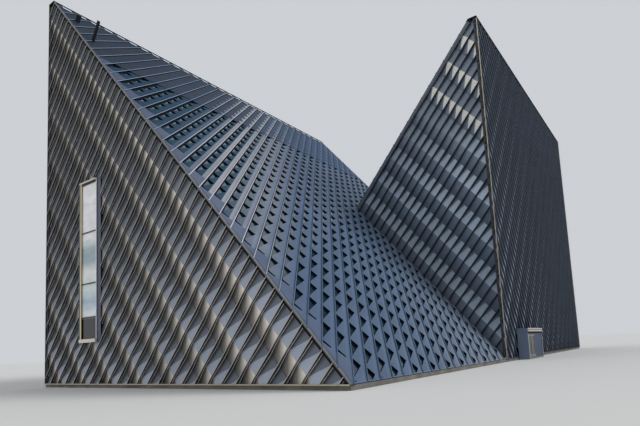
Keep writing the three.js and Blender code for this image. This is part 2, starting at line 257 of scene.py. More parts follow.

# Colours of the slope's sheets over that measure, as (metres, colour): the metal's colour with painted
# reflections of the sky and painted light; the same for the folds, the band, the near edge and the fins
# below
SHEET_PAINTED_LIGHT = [
    (-14.0, (128, 140, 156)),
    (-6.0, (102, 120, 144)),
    (2.5, (88, 107, 134)),
    (5.5, (120, 132, 150)),
    (8.5, (160, 160, 164)),
    (10.5, (94, 108, 126)),
    (12.5, (46, 70, 90)),
    (19.0, (34, 58, 78)),
]
FOLD_PAINTED_LIGHT = [
    (-14.0, (114, 126, 140)),
    (-6.0, (94, 110, 132)),
    (2.5, (88, 104, 128)),
    (5.0, (120, 128, 142)),
    (6.5, (92, 106, 122)),
    (8.0, (42, 74, 96)),
    (19.0, (32, 60, 80)),
]
BAND_PAINTED_LIGHT = [
    (-4.0, (64, 86, 114)),
    (6.0, (64, 80, 102)),
    (11.0, (56, 66, 82)),
    (20.0, (46, 54, 66)),
]
NEAR_EDGE_PAINTED_LIGHT = [
    (4.0, (92, 105, 128)),
    (8.0, (98, 108, 128)),
    (13.0, (90, 99, 119)),
    (17.0, (82, 92, 114)),
]
FIN_PAINTED_LIGHT = [
    (-14.0, (90, 104, 122)),
    (2.5, (80, 102, 130)),
    (6.0, (190, 192, 200)),
    (10.0, (196, 202, 214)),
    (13.0, (130, 152, 186)),
]

# Noise as (cycles a metre of the model, detail), and the range of its values that is used
PATCH_NOISE = (0.9, 3.0)
GRAIN_NOISE = (14.0, 6.0)
PANE_NOISE = (0.5, 2.0)
# Noise for the painted reflection of cloud in the end windows, and the shades it spreads to
CLOUD_REFLECTION_NOISE = (1.6, 4.0, (1, 1, 3))
CLOUD_REFLECTION_SHADES = (0.86, 1.1)
BLOTCH_NOISE = (1.6, 5.0)
NOISE_LOW = 0.3
NOISE_HIGH = 0.7

# Surfaces: how much the grain varies and roughens them, and their bump as (cycles a metre, strength)
VARIATION = 0.08
GAP_VARIATION = 0.1
STONE_VARIATION = 0.12
GRAIN_SHARE = 0.6
ROUGH_BELOW = 0.06
ROUGH_ABOVE = 0.08
BUMP_DETAIL = 5.0
BUMP_DISTANCE = 0.01
METAL_BUMP = (30.0, 0.12)
GAP_BUMP = (30.0, 0.1)
STONE_BUMP = (60.0, 0.35)
# Roughness, metalness and shine of the sheets that carry painted reflections and painted light
LIGHT_PAINTED_ROUGH = 0.55
LIGHT_PAINTED_METALLIC = 0.05
LIGHT_PAINTED_SHINE = 0.02
PANE_GRAIN = 6.0
PANE_ROUGH = (0.08, 0.16)
WINDOW_GRAIN = 5.0
WINDOW_ROUGH = (0.06, 0.12)


def colour(red, green, blue):
    """A colour of 0 to 255 steps as the linear values that a shader takes."""
    steps = [value / 255 for value in (red, green, blue)]
    return tuple((v / 12.92 if v <= 0.04045 else ((v + 0.055) / 1.055) ** 2.4) for v in steps) + (1,)


def new_material(name):
    material = bpy.data.materials.new(name)
    material.use_nodes = True
    nodes = material.node_tree.nodes
    return material, nodes, material.node_tree.links, nodes["Principled BSDF"]


def noise(nodes, links, scale, detail=4.0, stretch=(1, 1, 1)):
    """Noise in the part's own space, in cycles a metre."""
    place = nodes.new("ShaderNodeTexCoord")
    mapping = nodes.new("ShaderNodeMapping")
    mapping.inputs["Scale"].default_value = stretch
    links.new(place.outputs["Object"], mapping.inputs["Vector"])
    texture = nodes.new("ShaderNodeTexNoise")
    texture.inputs["Scale"].default_value = scale
    texture.inputs["Detail"].default_value = detail
    links.new(mapping.outputs["Vector"], texture.inputs["Vector"])
    return texture.outputs["Fac"]


def spread(nodes, links, value, low, high):
    """A noise value spread over a range."""
    fit = nodes.new("ShaderNodeMapRange")
    fit.inputs["From Min"].default_value = NOISE_LOW
    fit.inputs["From Max"].default_value = NOISE_HIGH
    fit.inputs["To Min"].default_value = low
    fit.inputs["To Max"].default_value = high
    links.new(value, fit.inputs["Value"])
    return fit.outputs["Result"]


def mixed(nodes, links, factor, first, second, kind="MIX"):
    mix = nodes.new("ShaderNodeMix")
    mix.data_type = "RGBA"
    mix.blend_type = kind
    for name, value in (("Factor", factor), ("A", first), ("B", second)):
        if isinstance(value, bpy.types.NodeSocket):
            links.new(value, mix.inputs[name])
        else:
            mix.inputs[name].default_value = value
    return mix.outputs["Result"]


def shaded(nodes, links, base, amount):
    """A colour made lighter or darker by a value round 1."""
    grey = nodes.new("ShaderNodeCombineColor")
    for channel in ("Red", "Green", "Blue"):
        links.new(amount, grey.inputs[channel])
    return mixed(nodes, links, 1.0, base, grey.outputs["Color"], "MULTIPLY")


def tone_value(nodes):
    """The tone that the mesh carries at each corner."""
    tone = nodes.new("ShaderNodeAttribute")
    tone.attribute_name = "tone"
    return tone.outputs["Fac"]


def colour_ramp(nodes, links, value, stops, low, span):
    """Colours over a value from 0 to 1, which stands for a span of metres from low on."""
    ramp = nodes.new("ShaderNodeValToRGB")
    links.new(value, ramp.inputs["Fac"])
    elements = ramp.color_ramp.elements
    elements.remove(elements[1])
    for number, (metres, shade) in enumerate(stops):
        place = (metres - low) / span
        element = elements[0] if number == 0 else elements.new(place)
        element.position = place
        element.color = colour(*shade)
    return ramp.outputs["Color"]


def finish_surface(nodes, links, shader, base, rough, bump_size=METAL_BUMP, variation=VARIATION):
    """Colour variation, patchy roughness and a fine bump, as rolled metal has."""
    patches = noise(nodes, links, *PATCH_NOISE)
    grain = noise(nodes, links, *GRAIN_NOISE)
    product = nodes.new("ShaderNodeMath")
    product.operation = "MULTIPLY"
    light = spread(nodes, links, patches, 1 - variation, 1 + variation)
    fine = spread(nodes, links, grain, 1 - variation * GRAIN_SHARE, 1 + variation * GRAIN_SHARE)
    links.new(light, product.inputs[0])
    links.new(fine, product.inputs[1])
    links.new(shaded(nodes, links, base, product.outputs[0]), shader.inputs["Base Color"])
    roughness = spread(nodes, links, grain, rough - ROUGH_BELOW, rough + ROUGH_ABOVE)
    links.new(roughness, shader.inputs["Roughness"])
    scale, strength = bump_size
    bump = nodes.new("ShaderNodeBump")
    bump.inputs["Strength"].default_value = strength
    bump.inputs["Distance"].default_value = BUMP_DISTANCE
    links.new(noise(nodes, links, scale, BUMP_DETAIL), bump.inputs["Height"])
    links.new(bump.outputs["Normal"], shader.inputs["Normal"])


def light_painted_metal(name, stops):
    """Coated sheet metal with painted reflections of the sky and painted light that shift over the slope."""
    material, nodes, links, shader = new_material(name)
    shader.inputs["Metallic"].default_value = LIGHT_PAINTED_METALLIC
    shader.inputs["Specular IOR Level"].default_value = LIGHT_PAINTED_SHINE
    base = colour_ramp(nodes, links, tone_value(nodes), stops, PAINTED_LIGHT_LOW, PAINTED_LIGHT_SPAN)
    finish_surface(nodes, links, shader, base, LIGHT_PAINTED_ROUGH)
    return material


def toned_metal(name, dark, light, rough, metallic):
    """Sheet metal with painted light and shade: its colour runs from dark to light with the tone painted on
    each folded face.
    """
    material, nodes, links, shader = new_material(name)
    shader.inputs["Metallic"].default_value = metallic
    base = mixed(nodes, links, tone_value(nodes), colour(*dark), colour(*light))
    finish_surface(nodes, links, shader, base, rough)
    return material


def plain_metal(name, base, rough, metallic, shine=0.5):
    material, nodes, links, shader = new_material(name)
    shader.inputs["Metallic"].default_value = metallic
    shader.inputs["Specular IOR Level"].default_value = shine
    finish_surface(nodes, links, shader, colour(*base), rough)
    return material


def shadow_gap(name, base, rough, shine):
    """Near-black painted shade, for gaps, creases, reveals and slots."""
    material, nodes, links, shader = new_material(name)
    shader.inputs["Specular IOR Level"].default_value = shine
    finish_surface(nodes, links, shader, colour(*base), rough, GAP_BUMP, GAP_VARIATION)
    return material


def slope_glass(name, dark, light, metallic, shine):
    """Solar control glass: a dark teal coat that mirrors what is over it."""
    material, nodes, links, shader = new_material(name)
    shader.inputs["Metallic"].default_value = metallic
    shader.inputs["Specular IOR Level"].default_value = shine
    panes = spread(nodes, links, noise(nodes, links, *PANE_NOISE), 0.0, 1.0)
    links.new(mixed(nodes, links, panes, colour(*dark), colour(*light)), shader.inputs["Base Color"])
    links.new(spread(nodes, links, noise(nodes, links, PANE_GRAIN), *PANE_ROUGH), shader.inputs["Roughness"])
    return material


def window_glass(name):
    """The end windows' mirror glass, with a painted reflection: pale, with bands of cloud, and dark ground
    in the lowest pane.
    """
    material, nodes, links, shader = new_material(name)
    place = nodes.new("ShaderNodeTexCoord")
    split = nodes.new("ShaderNodeSeparateXYZ")
    links.new(place.outputs["Object"], split.inputs["Vector"])
    height = nodes.new("ShaderNodeMapRange")
    height.inputs["From Min"].default_value = WINDOW_SILL * MODEL_SCALE
    height.inputs["From Max"].default_value = WINDOW_HEAD * MODEL_SCALE
    links.new(split.outputs["Z"], height.inputs["Value"])
    share, span = height.outputs["Result"], WINDOW_HEAD - WINDOW_SILL
    bands = colour_ramp(nodes, links, share, WINDOW_REFLECTION_BANDS, WINDOW_SILL, span)
    cloud_reflection = spread(nodes, links, noise(nodes, links, *CLOUD_REFLECTION_NOISE), *CLOUD_REFLECTION_SHADES)
    links.new(shaded(nodes, links, bands, cloud_reflection), shader.inputs["Base Color"])
    roughness = spread(nodes, links, noise(nodes, links, WINDOW_GRAIN), *WINDOW_ROUGH)
    links.new(roughness, shader.inputs["Roughness"])
    return material


def stone(name, dark, light, rough):
    """Cast concrete with blotches and fine pores."""
    material, nodes, links, shader = new_material(name)
    blotches = spread(nodes, links, noise(nodes, links, *BLOTCH_NOISE), 0.0, 1.0)
    base = mixed(nodes, links, blotches, colour(*dark), colour(*light))
    finish_surface(nodes, links, shader, base, rough, STONE_BUMP, STONE_VARIATION)
    return material


# Every finish: how it is made, then its colours, its roughness, how metallic it is and how it shines
FINISHES = {
    # Wall cladding: copies of one metal with painted light and shade; cool cells face up and catch painted
    # sky light, warm cells face down, bright rows carry a painted reflection of the low sky, and the gable
    # and side copies carry those walls' painted shade and sky colour
    "sheet_cool": (toned_metal, (76, 80, 88), (186, 196, 212), 0.38, 0.5),
    "sheet_warm": (toned_metal, (74, 73, 73), (240, 231, 216), 0.4, 0.5),
    "gable_cool": (toned_metal, (78, 87, 100), (222, 240, 255), 0.38, 0.5),
    "gable_warm": (toned_metal, (92, 102, 116), (202, 218, 238), 0.4, 0.5),
    "gable_bright": (toned_metal, (110, 112, 116), (255, 250, 236), 0.4, 0.3),
    "side_cool": (toned_metal, (68, 78, 94), (146, 162, 188), 0.38, 0.5),
    "side_warm": (toned_metal, (70, 78, 88), (164, 172, 186), 0.4, 0.5),
    # The slope's sheets, folds, band, near edge and fins: colours with painted reflections of the sky and
    # painted light
    "scale_sheet": (light_painted_metal, SHEET_PAINTED_LIGHT),
    "scale_fold": (light_painted_metal, FOLD_PAINTED_LIGHT),
    "scale_edge": (light_painted_metal, FIN_PAINTED_LIGHT),
    "band_sheet": (light_painted_metal, BAND_PAINTED_LIGHT),
    "edge_sheet": (light_painted_metal, NEAR_EDGE_PAINTED_LIGHT),
    # Fins: fin_side, side_web and gable_fin give fins' sides, the side walls' hems and the gable's whole
    # fins a painted shade; fin_edge, side_fin and hem give fins' caps and the end walls' hems a painted
    # highlight; fin_edge also colours the porch fascias
    "fin_side": (plain_metal, (60, 61, 64), 0.5, 0.35),
    "fin_edge": (plain_metal, (196, 190, 182), 0.42, 0.4),
    "hem": (plain_metal, (244, 240, 232), 0.42, 0.3),
    "side_fin": (plain_metal, (150, 156, 166), 0.42, 0.4),
    "side_web": (plain_metal, (74, 84, 98), 0.5, 0.35),
    "gable_fin": (plain_metal, (66, 74, 86), 0.5, 0.35),
    "gable_trim": (plain_metal, (112, 120, 130), 0.5, 0.35),
    "pale_trim": (plain_metal, (196, 186, 158), 0.42, 0.4),
    "edge_trim": (plain_metal, (168, 160, 140), 0.42, 0.3),
    "dash": (plain_metal, (206, 212, 222), 0.42, 0.2),
    "window_trim": (plain_metal, (238, 228, 220), 0.42, 0.2),
    "near_board": (plain_metal, (92, 96, 114), 0.5, 0.3),
    "far_board": (plain_metal, (120, 122, 124), 0.5, 0.3),
    "reveal_warm": (plain_metal, (250, 228, 176), 0.42, 0.1),
    "reveal_cool": (plain_metal, (250, 252, 255), 0.42, 0.1),
    "porch_panel": (plain_metal, (108, 120, 142), 0.5, 0.2, 0.2),
    "panel_dark": (plain_metal, (58, 74, 98), 0.5, 0.2, 0.1),
    "porch_edge": (plain_metal, (164, 164, 156), 0.42, 0.2, 0.2),
    "leaf_metal": (plain_metal, (112, 114, 112), 0.42, 0.3, 0.2),
    "door_dark": (plain_metal, (16, 26, 28), 0.25, 0.2, 0.1),
    "black_metal": (plain_metal, (26, 28, 33), 0.45, 0.4),
    # Near-black painted shade, for creases, gaps, reveal rims, the porch slot and the ridge coping
    "painted_shade": (shadow_gap, (10, 15, 22), 0.8, 0.1),
    "slope_glass": (slope_glass, (10, 40, 56), (24, 64, 84), 0.7, 0.05),
    # The end windows' glass carries a painted reflection of cloud and of dark ground
    "window_glass": (window_glass,),
    "concrete": (stone, (92, 89, 84), (128, 124, 117), 0.88),
}
made_materials = {}


def finish(name):
    if name not in made_materials:
        maker, *values = FINISHES[name]
        made_materials[name] = maker(name, *values)
    return made_materials[name]


# Flat sides of the building and the strips that cover them


class Side:
    """A flat side, with places given as (h, v, depth): along it, up it and into the building."""

    def __init__(self, u, s, z, across, upward, inward):
        self.origin = Vector((u + s * COS - MIDDLE_X, s * SIN - MIDDLE_Y, z))
        self.across = Vector(across)
        self.upward = Vector(upward)
        self.inward = Vector(inward).normalized()

    def point(self, h, v, depth):
        spot = self.origin + self.across * h + self.upward * v + self.inward * depth
        return spot * MODEL_SCALE


class Strips:
    """Strips at an angle over a side: (along, over) are real metres along and across a strip."""

    def __init__(self, along, over):
        self.along = along
        self.over = over
        self.turn = along[0] * over[1] - along[1] * over[0]

    def place(self, along, over):
        return (
            along * self.along[0] + over * self.over[0],
            along * self.along[1] + over * self.over[1],
        )

    def measure(self, h, v):
        return (
            (h * self.over[1] - v * self.over[0]) / self.turn,
            (v * self.along[0] - h * self.along[1]) / self.turn,
        )


DIAGONAL = math.sqrt(0.5)
WALL_STRIPS = Strips((DIAGONAL, -DIAGONAL), (DIAGONAL, DIAGONAL))
SCALE_STRIPS = Strips(
    (
        math.cos(SCALE_ANGLE) - math.sin(SCALE_ANGLE) * COS / SLOPE_METRE,
        math.sin(SCALE_ANGLE) / SLOPE_METRE,
    ),
    (
        -math.sin(SCALE_ANGLE) - math.cos(SCALE_ANGLE) * COS / SLOPE_METRE,
        math.cos(SCALE_ANGLE) / SLOPE_METRE,
    ),
)

END_SIDE = Side(0, 0, SLOPE_FOOT, (COS, SIN, 0), (0, 0, 1), (SIN, -COS, 0))
GABLE_SIDE = Side(HALL_SHIFT, 0, SLOPE_FOOT, (COS, SIN, 0), (0, 0, 1), (SIN, -COS, 0))
LONG_SIDE = Side(HALL_SHIFT, 0, SLOPE_FOOT, (1, 0, 0), (0, 0, 1), (0, 1, 0))
SLOPE_FACE = Side(0, 0, SLOPE_FOOT, (1, 0, 0), (COS, SIN, RISE), (0, RISE, -SIN))


def rectangle(h0, h1, v0, v1):
    return [(h0, v0), (h1, v0), (h1, v1), (h0, v1)]


def half_planes(outline):
    """The sides of a convex outline as (a, b, c), with a*h + b*v <= c inside."""
    middle_h = sum(p[0] for p in outline) / len(outline)
    middle_v = sum(p[1] for p in outline) / len(outline)
    found = []
    for (h0, v0), (h1, v1) in zip(outline, outline[1:] + outline[:1]):
        a, b = v1 - v0, h0 - h1
        c = a * h0 + b * v0
        if a * middle_h + b * middle_v > c:
            a, b, c = -a, -b, -c
        found.append((a, b, c))
    return found


def regions(outline, hole=None):
    """A convex outline, split along the sides of a rectangular hole, as lists of half planes."""
    base = half_planes(outline)
    if hole is None:
        return [base]
    h0, h1, v0, v1 = hole
    columns = [[(1, 0, h0)], [(-1, 0, -h0), (1, 0, h1)], [(-1, 0, -h1)]]
    rows = [[(0, 1, v0)], [(0, -1, -v0), (0, 1, v1)], [(0, -1, -v1)]]
    return [
        base + columns[i] + rows[j]
        for i in range(3)
        for j in range(3)
        if (i, j) != (1, 1)
    ]


def clip(polygon, planes):
    """The part of a polygon of (h, v, depth, tone) points inside all half planes."""
    for a, b, c in planes:
        kept = []
        for i, here in enumerate(polygon):
            before = polygon[i - 1]
            inside = c - a * here[0] - b * here[1]
            inside_before = c - a * before[0] - b * before[1]
            if (inside > 0) != (inside_before > 0):
                share = inside_before / (inside_before - inside)
                kept.append(tuple(p + (q - p) * share for p, q in zip(before, here)))
            if inside > 0:
                kept.append(here)
        polygon = kept
        if len(polygon) < 3:
            return []
    return polygon


def clipped(polygons, areas):
    """Every polygon's part in every area."""
    found = []
    for polygon, paint in polygons:
        for planes in areas:
            piece = clip(polygon, planes)
            if piece:
                found.append((piece, paint))
    return found


class Shell:
    """A mesh in the making: closed layers of polygons, each polygon with its finish."""

    def __init__(self, side):
        self.side = side
        self.mesh = bmesh.new()
        self.tone = self.mesh.loops.layers.float.new("tone")
        self.paints = []

    def paint(self, name):
        if name not in self.paints:
            self.paints.append(name)
        return self.paints.index(name)

    def face(self, corners, tones, name):
        face = self.mesh.faces.new(corners)
        face.material_index = self.paint(name)
        for loop, tone in zip(face.loops, tones):
            loop[self.tone] = tone

    def layer(self, polygons, back, rim, inner="painted_shade"):
        """A closed layer: fronts with their own depths, a flat back, and a rim round the outline."""
        front, rear, edges = {}, {}, {}
        for polygon, name in polygons:
            keys = []
            for h, v, depth, tone in polygon:
                key = tuple(round(value, PLACE_DIGITS) for value in (h, v, depth))
                if not keys or keys[-1][0] != key:
                    keys.append((key, tone))
            if keys and keys[0][0] == keys[-1][0]:
                keys.pop()
            if len({key for key, _ in keys}) < 3:
                continue
            for key, _ in keys:
                if key not in front:
                    front[key] = self.mesh.verts.new(self.side.point(*key))
                    rear[key] = self.mesh.verts.new(self.side.point(key[0], key[1], back))
            order = [key for key, _ in keys]
            self.face([front[k] for k in order], [t for _, t in keys], name)
            self.face([rear[k] for k in reversed(order)], [0] * len(order), inner)
            for one, two in zip(order, order[1:] + order[:1]):
                if (two, one) in edges:
                    del edges[(two, one)]
                else:
                    edges[(one, two)] = True
        for one, two in edges:
            self.face([front[two], front[one], rear[one], rear[two]], [0] * 4, rim)

    def block(self, corners, front, back, face, rim):
        """A flat block with one outline between two depths."""
        self.layer([([(h, v, front, MIDDLE_TONE) for h, v in corners], face)], back, rim)

    def piece(self, name, replaced, slot, turned=False):
        bmesh.ops.remove_doubles(self.mesh, verts=self.mesh.verts, dist=MERGE_DISTANCE)
        bmesh.ops.recalc_face_normals(self.mesh, faces=self.mesh.faces)
        data = bpy.data.meshes.new(name)
        self.mesh.to_mesh(data)
        if turned:
            data.transform(Matrix.Rotation(math.pi, 4, "Z"))
        for paint in self.paints:
            data.materials.append(finish(paint))
        made = bpy.data.objects.new(name, data)
        bpy.context.scene.collection.objects.link(made)
        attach(made, "building")
        if replaced:
            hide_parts(*replaced)
        return made


# Folded cladding of the upright walls

# How one wall is clad:
#   cool, warm: finishes of the cells that face up, with painted light from the sky, and of the cells that
#       face down, in painted shade
#   bright: finish of the cells that face down in a bright row, with a painted reflection of the low sky
#   cap, side, hem: finishes of the fins' caps, of their sides and of the sheets' turned edges (a painted
#       highlight on light caps and hems, painted shade on dark sides)
#   cap_width: how wide a fin's cap is
#   row_first, cool_cell: where the rows start along a strip, and how long a cell that faces up is
#   fold_share: where a fold meets its row's line, as a share of the strip's width
#   fade: how much painted shade darkens the wall away from the slope's edge and high up
#   dusk: how much painted shade darkens the cells that face up, from which height on and over how many
#       metres
#   lift, glow: the least tone of the small facets, and the painted highlight along a crest
#   bright_rows: the numbers of the rows with a painted reflection of the low sky
WallStyle = namedtuple(
    "WallStyle",
    "cool warm bright cap side hem cap_width row_first cool_cell fold_share fade dusk lift glow bright_rows",
)

END_STYLE = WallStyle(
    cool="sheet_cool", warm="sheet_warm", bright="sheet_warm",
    cap="fin_edge", side="fin_side", hem="hem",
    cap_width=0.035, row_first=0.20, cool_cell=1.29, fold_share=0.0,
    fade=0.8, dusk=(0.82, 3.0, 8.0), lift=0.0, glow=1.35, bright_rows=(),
)
GABLE_STYLE = WallStyle(
    cool="gable_cool", warm="gable_warm", bright="gable_bright",
    cap="gable_fin", side="gable_fin", hem="gable_fin",
    cap_width=0.05, row_first=0.42, cool_cell=1.07, fold_share=0.55,
    fade=0.0, dusk=(0.72, 12.0, 6.0), lift=0.1, glow=0.5, bright_rows=(-8, -7, -6),
)
LONG_STYLE = END_STYLE._replace(
    cool="side_cool", warm="side_warm", bright="side_warm",
    cap="side_fin", side="side_web", hem="side_web",
    fade=0.0, dusk=(0.0, 3.0, 8.0), glow=1.1,
)


def strip_range(strips, outline, pitch, first):
    """The numbers of the strips that an outline touches, and its reach along them."""
    places = [strips.measure(h, v) for h, v in outline]
    low = min(p[1] for p in places)
    high = max(p[1] for p in places)
    numbers = range(math.floor((low - first) / pitch), math.ceil((high - first) / pitch) + 1)
    return numbers, min(p[0] for p in places), max(p[0] for p in places)


def wall_strips(outline):
    """The strips between a wall's fins, as (right, left), and their reach along the fins."""
    numbers, start, end = strip_range(WALL_STRIPS, outline, FIN_PITCH, FIN_FIRST)
    rights = [FIN_FIRST + number * FIN_PITCH + FIN_THICK / 2 for number in numbers]
    return [(right, right + FIN_PITCH - FIN_THICK) for right in rights], start, end


def row_tops(style, start, end):
    """The numbers and places of the rows between two places along the strips."""
    first = math.floor((start - style.row_first) / ROW_PITCH) - 1
    last = math.ceil((end - style.row_first) / ROW_PITCH) + 1
    return [(number, style.row_first + number * ROW_PITCH) for number in range(first, last)]


def wall_corner(along, over, depth, tone=MIDDLE_TONE):
    h, v = WALL_STRIPS.place(along, over)
    return (h, v, depth, tone)


def bar(corner, over, width, depth, reach):
    """A straight bar along a strip, as one long polygon whose corners the given function places."""
    low, high = over - width / 2, over + width / 2
    return [corner(along, side, depth) for along, side in rectangle(*reach, low, high)]


def folded_cells(outline, style):
    """The folded sheets between the fins, as polygons with depth and tone."""
    strips, start, end = wall_strips(outline)
    cells = []
    for right, left in strips:
        for number, top in row_tops(style, start, end):
            cells += folded_module(right, left, top, style, number in style.bright_rows)
    return cells


def clamped(value):
    return min(max(value, 0), 1)


def light_share(h, v, style):
    """How much painted light a module keeps: painted shade makes it darker away from the slope's edge and
    high up.
    """
    return 1 - style.fade * clamped((h - v / RISE) / SHADE_REACH) * clamped((v - SHADE_START) / SHADE_HEIGHT)


def upward_share(v, style):
    """How much painted light the cells that face up keep: painted shade makes them darker high up the wall.
    """
    amount, start, reach = style.dusk
    return 1 - amount * clamped((v - start) / reach)


def folded_module(right, left, top, style, bright):
    """One module of a strip: a cell that faces up and a cell that faces down, each in two facets, with
    painted light and shade in their tones and a painted highlight along the crest.
    """
    crest, bottom = top + style.cool_cell, top + ROW_PITCH
    h, v = WALL_STRIPS.place(crest, right)
    dim = light_share(h, v, style)
    high = dim * upward_share(v, style)
    fold, lift = style.fold_share, style.lift
    foot_fold, lit = (0, style.bright) if bright else (fold, style.warm)

    def spot(along, share, tone):
        near, far = (CREST_NEAR_FIN, CREST_FAR_FIN) if along == crest else (VALLEY_NEAR_FIN, VALLEY_FAR_FIN)
        depth = near + (far - near) * share
        return wall_corner(along + FOLD_SKEW * share, right + (left - right) * share, depth, tone)

    upward = [(top, 0), (crest, 0), (crest, 1), (top, fold)]
    downward = [(crest, 0), (bottom, 0), (bottom, foot_fold), (crest, 1)]
    tones = BRIGHT_TONES if bright else (style.glow * dim, *(tone * dim for tone in DOWNWARD_TONES))
    crest_tip = spot(crest, 1, lift + CREST_FACET * dim)
    row_fold = spot(top, fold, lift + ROW_FACET * dim)
    foot = spot(bottom, foot_fold, lift + FOOT_FACET * dim)
    return [
        ([spot(*place, tone * high) for place, tone in zip(upward, UPWARD_TONES)], style.cool),
        ([row_fold, crest_tip, spot(top, 1, lift + TIP_FACET)], style.cool),
        ([spot(*place, tone) for place, tone in zip(downward, tones)], lit),
        ([crest_tip, foot, spot(bottom, 1, lift)], style.warm),
    ]


def crease(right, left, top):
    """A near-black line of painted shade down a valley."""
    near, far = VALLEY_NEAR_FIN - CREASE_LIFT, VALLEY_FAR_FIN - CREASE_LIFT
    return [
        wall_corner(top - CREASE_WIDTH, right, near, 0),
        wall_corner(top, right, near, 0),
        wall_corner(top + FOLD_SKEW, left, far, 0),
        wall_corner(top - CREASE_WIDTH + FOLD_SKEW, left, far, 0),
    ]


def hems(left, top, style):
    """The turned edge of the sheets under the next fin; it follows the folds."""
    crest = top + style.cool_cell
    spots = [(top, VALLEY_FAR_FIN), (crest, CREST_FAR_FIN), (top + ROW_PITCH, VALLEY_FAR_FIN)]
    found = []
    for (one, one_depth), (two, two_depth) in zip(spots, spots[1:]):
        found.append([
            wall_corner(one + FOLD_SKEW, left - HEM_WIDTH, one_depth - HEM_PROUD),
            wall_corner(two + FOLD_SKEW, left - HEM_WIDTH, two_depth - HEM_PROUD),
            wall_corner(two + FOLD_SKEW, left, two_depth - HEM_PROUD),
            wall_corner(one + FOLD_SKEW, left, one_depth - HEM_PROUD),
        ])
    return found


def add_fins(shell, outline, areas, style):
    numbers, start, end = strip_range(WALL_STRIPS, outline, FIN_PITCH, FIN_FIRST)
    reach = (start, end)
    for number in numbers:
        over = FIN_FIRST + number * FIN_PITCH
        web = bar(wall_corner, over, FIN_THICK, FIN_CAP_DEPTH, reach)
        shell.layer(clipped([(web, style.side)], areas), SHEET_BACK, style.side)
        cap_over = over - (style.cap_width - FIN_THICK) / 2
        cap = bar(wall_corner, cap_over, style.cap_width, 0.0, reach)
        shell.layer(clipped([(cap, style.cap)], areas), FIN_CAP_DEPTH - CAP_GAP, style.side)


def add_lines(shell, outline, areas, style):
    """The hems and valley creases of every strip."""
    back = VALLEY_FAR_FIN + LINE_UNDER
    strips, start, end = wall_strips(outline)
    for right, left in strips:
        edges = []
        for _, top in row_tops(style, start, end):
            edges += [(polygon, style.hem) for polygon in hems(left, top, style)]
            line = crease(right, left - HEM_WIDTH - CREASE_GAP, top)
            shell.layer(clipped([(line, "painted_shade")], areas), back, "painted_shade")
        shell.layer(clipped(edges, areas), back, style.side)


def clad_wall(side, outline, style, hole=None):
    """A whole upright wall: folded sheets and fins inside one outline."""
    shell = Shell(side)
    areas = regions(outline, hole)
    shell.layer(clipped(folded_cells(outline, style), areas), SHEET_BACK, "fin_side")
    add_fins(shell, outline, areas, style)
    add_lines(shell, outline, areas, style)
    return shell


def edge_bar(shell, start, end, paint, width, front=0.0, back=BAR_BACK):
    """A trim bar just inside one edge of the outline."""
    a, b = Vector(start), Vector(end)
    run = b - a
    inside = Vector((-run.y, run.x)).normalized() * width
    shell.block([a, b, b + inside, a + inside], front, back, paint, "fin_side")


def edge_line(back):
    """The foot and head of the end wall's sloping edge, for a layer that is this deep."""
    under = EDGE_UNDER / SLOPE_LEVEL
    return (SLANT * back, -under), ((WALL_TOP + under) / RISE + SLANT * back, WALL_TOP)


def end_walls():
    """The end wall, which ends under the scales of the slope beside it, and its turned twin."""
    foot, head = edge_line(SHEET_BACK)
    trim_foot, trim_head = edge_line(TRIM_BACK)
    outline = [foot, (foot[0], WALL_FOOT), (WIDTH, WALL_FOOT), (WIDTH, head[1]), head]
    low, high = WINDOW_SILL - SLOPE_FOOT, WINDOW_HEAD - SLOPE_FOOT
    hole = (WINDOW_NEAR - BOARD_NEAR, WINDOW_FAR + BOARD_FAR, low, high)
    for name, turned in (("front", False), ("far", True)):
        shell = clad_wall(END_SIDE, outline, END_STYLE, hole)
        edge_bar(shell, trim_head, trim_foot, "edge_trim", EDGE_TRIM_WIDTH, 0.0, TRIM_BACK)
        # A dark bar of painted shadow beside the light trim along the sloping edge
        edge_bar(shell, trim_head, trim_foot, "fin_side", EDGE_BAR_WIDTH, EDGE_BAR_DEPTH, TRIM_BACK)
        edge_bar(shell, outline[2], outline[3], "fin_side", END_BAR_WIDTH)
        edge_bar(shell, outline[1], outline[2], "pale_trim", FOOT_BAR_WIDTH)
        window_boards(shell, hole)
        shell.piece(f"{name}_wall_cladding", [f"{name}_wall"], "dark_cladding", turned)


def window_boards(shell, hole):
    """Plain boards beside the window, and the light strips along its two sides."""
    h0, h1, low, high = hole
    near = rectangle(h0, WINDOW_NEAR, low, high)
    far = rectangle(WINDOW_FAR, h1, low, high)
    shell.block(near, BOARD_DEPTH, SHEET_BACK, "near_board", "painted_shade")
    shell.block(far, BOARD_DEPTH, SHEET_BACK, "far_board", "painted_shade")
    reveals = (
        (WINDOW_NEAR, WINDOW_NEAR + REVEAL_NEAR, "reveal_cool"),
        (WINDOW_FAR - REVEAL_FAR, WINDOW_FAR, "reveal_warm"),
    )
    for start, end, paint in reveals:
        shell.block(rectangle(start, end, low, high), REVEAL_FRONT, REVEAL_BACK, paint, paint)


def gables():
    """The gable that stands over the other hall's slope, and its turned twin."""
    under, hidden = GABLE_UNDER / SLOPE_LEVEL, GABLE_HIDDEN / SLOPE_LEVEL
    valley_v = RISE * VALLEY_S
    outline = [
        (CORNER_WIDTH, WALL_FOOT),
        ((hidden + WALL_FOOT) / RISE, WALL_FOOT),
        (VALLEY_S, valley_v - hidden),
        (VALLEY_S, valley_v - under),
        (WIDTH - (WALL_TOP + under) / RISE, WALL_TOP),
        (CORNER_WIDTH, WALL_TOP),
    ]
    for name, turned in (("tower", False), ("hall", True)):
        shell = clad_wall(GABLE_SIDE, outline, GABLE_STYLE)
        edge_bar(shell, outline[4], outline[3], "gable_trim", -GABLE_BAR_WIDTH)
        corner_trim(shell)
        shell.piece(f"{name}_gable_cladding", [f"{name}_gable"], "dark_cladding", turned)


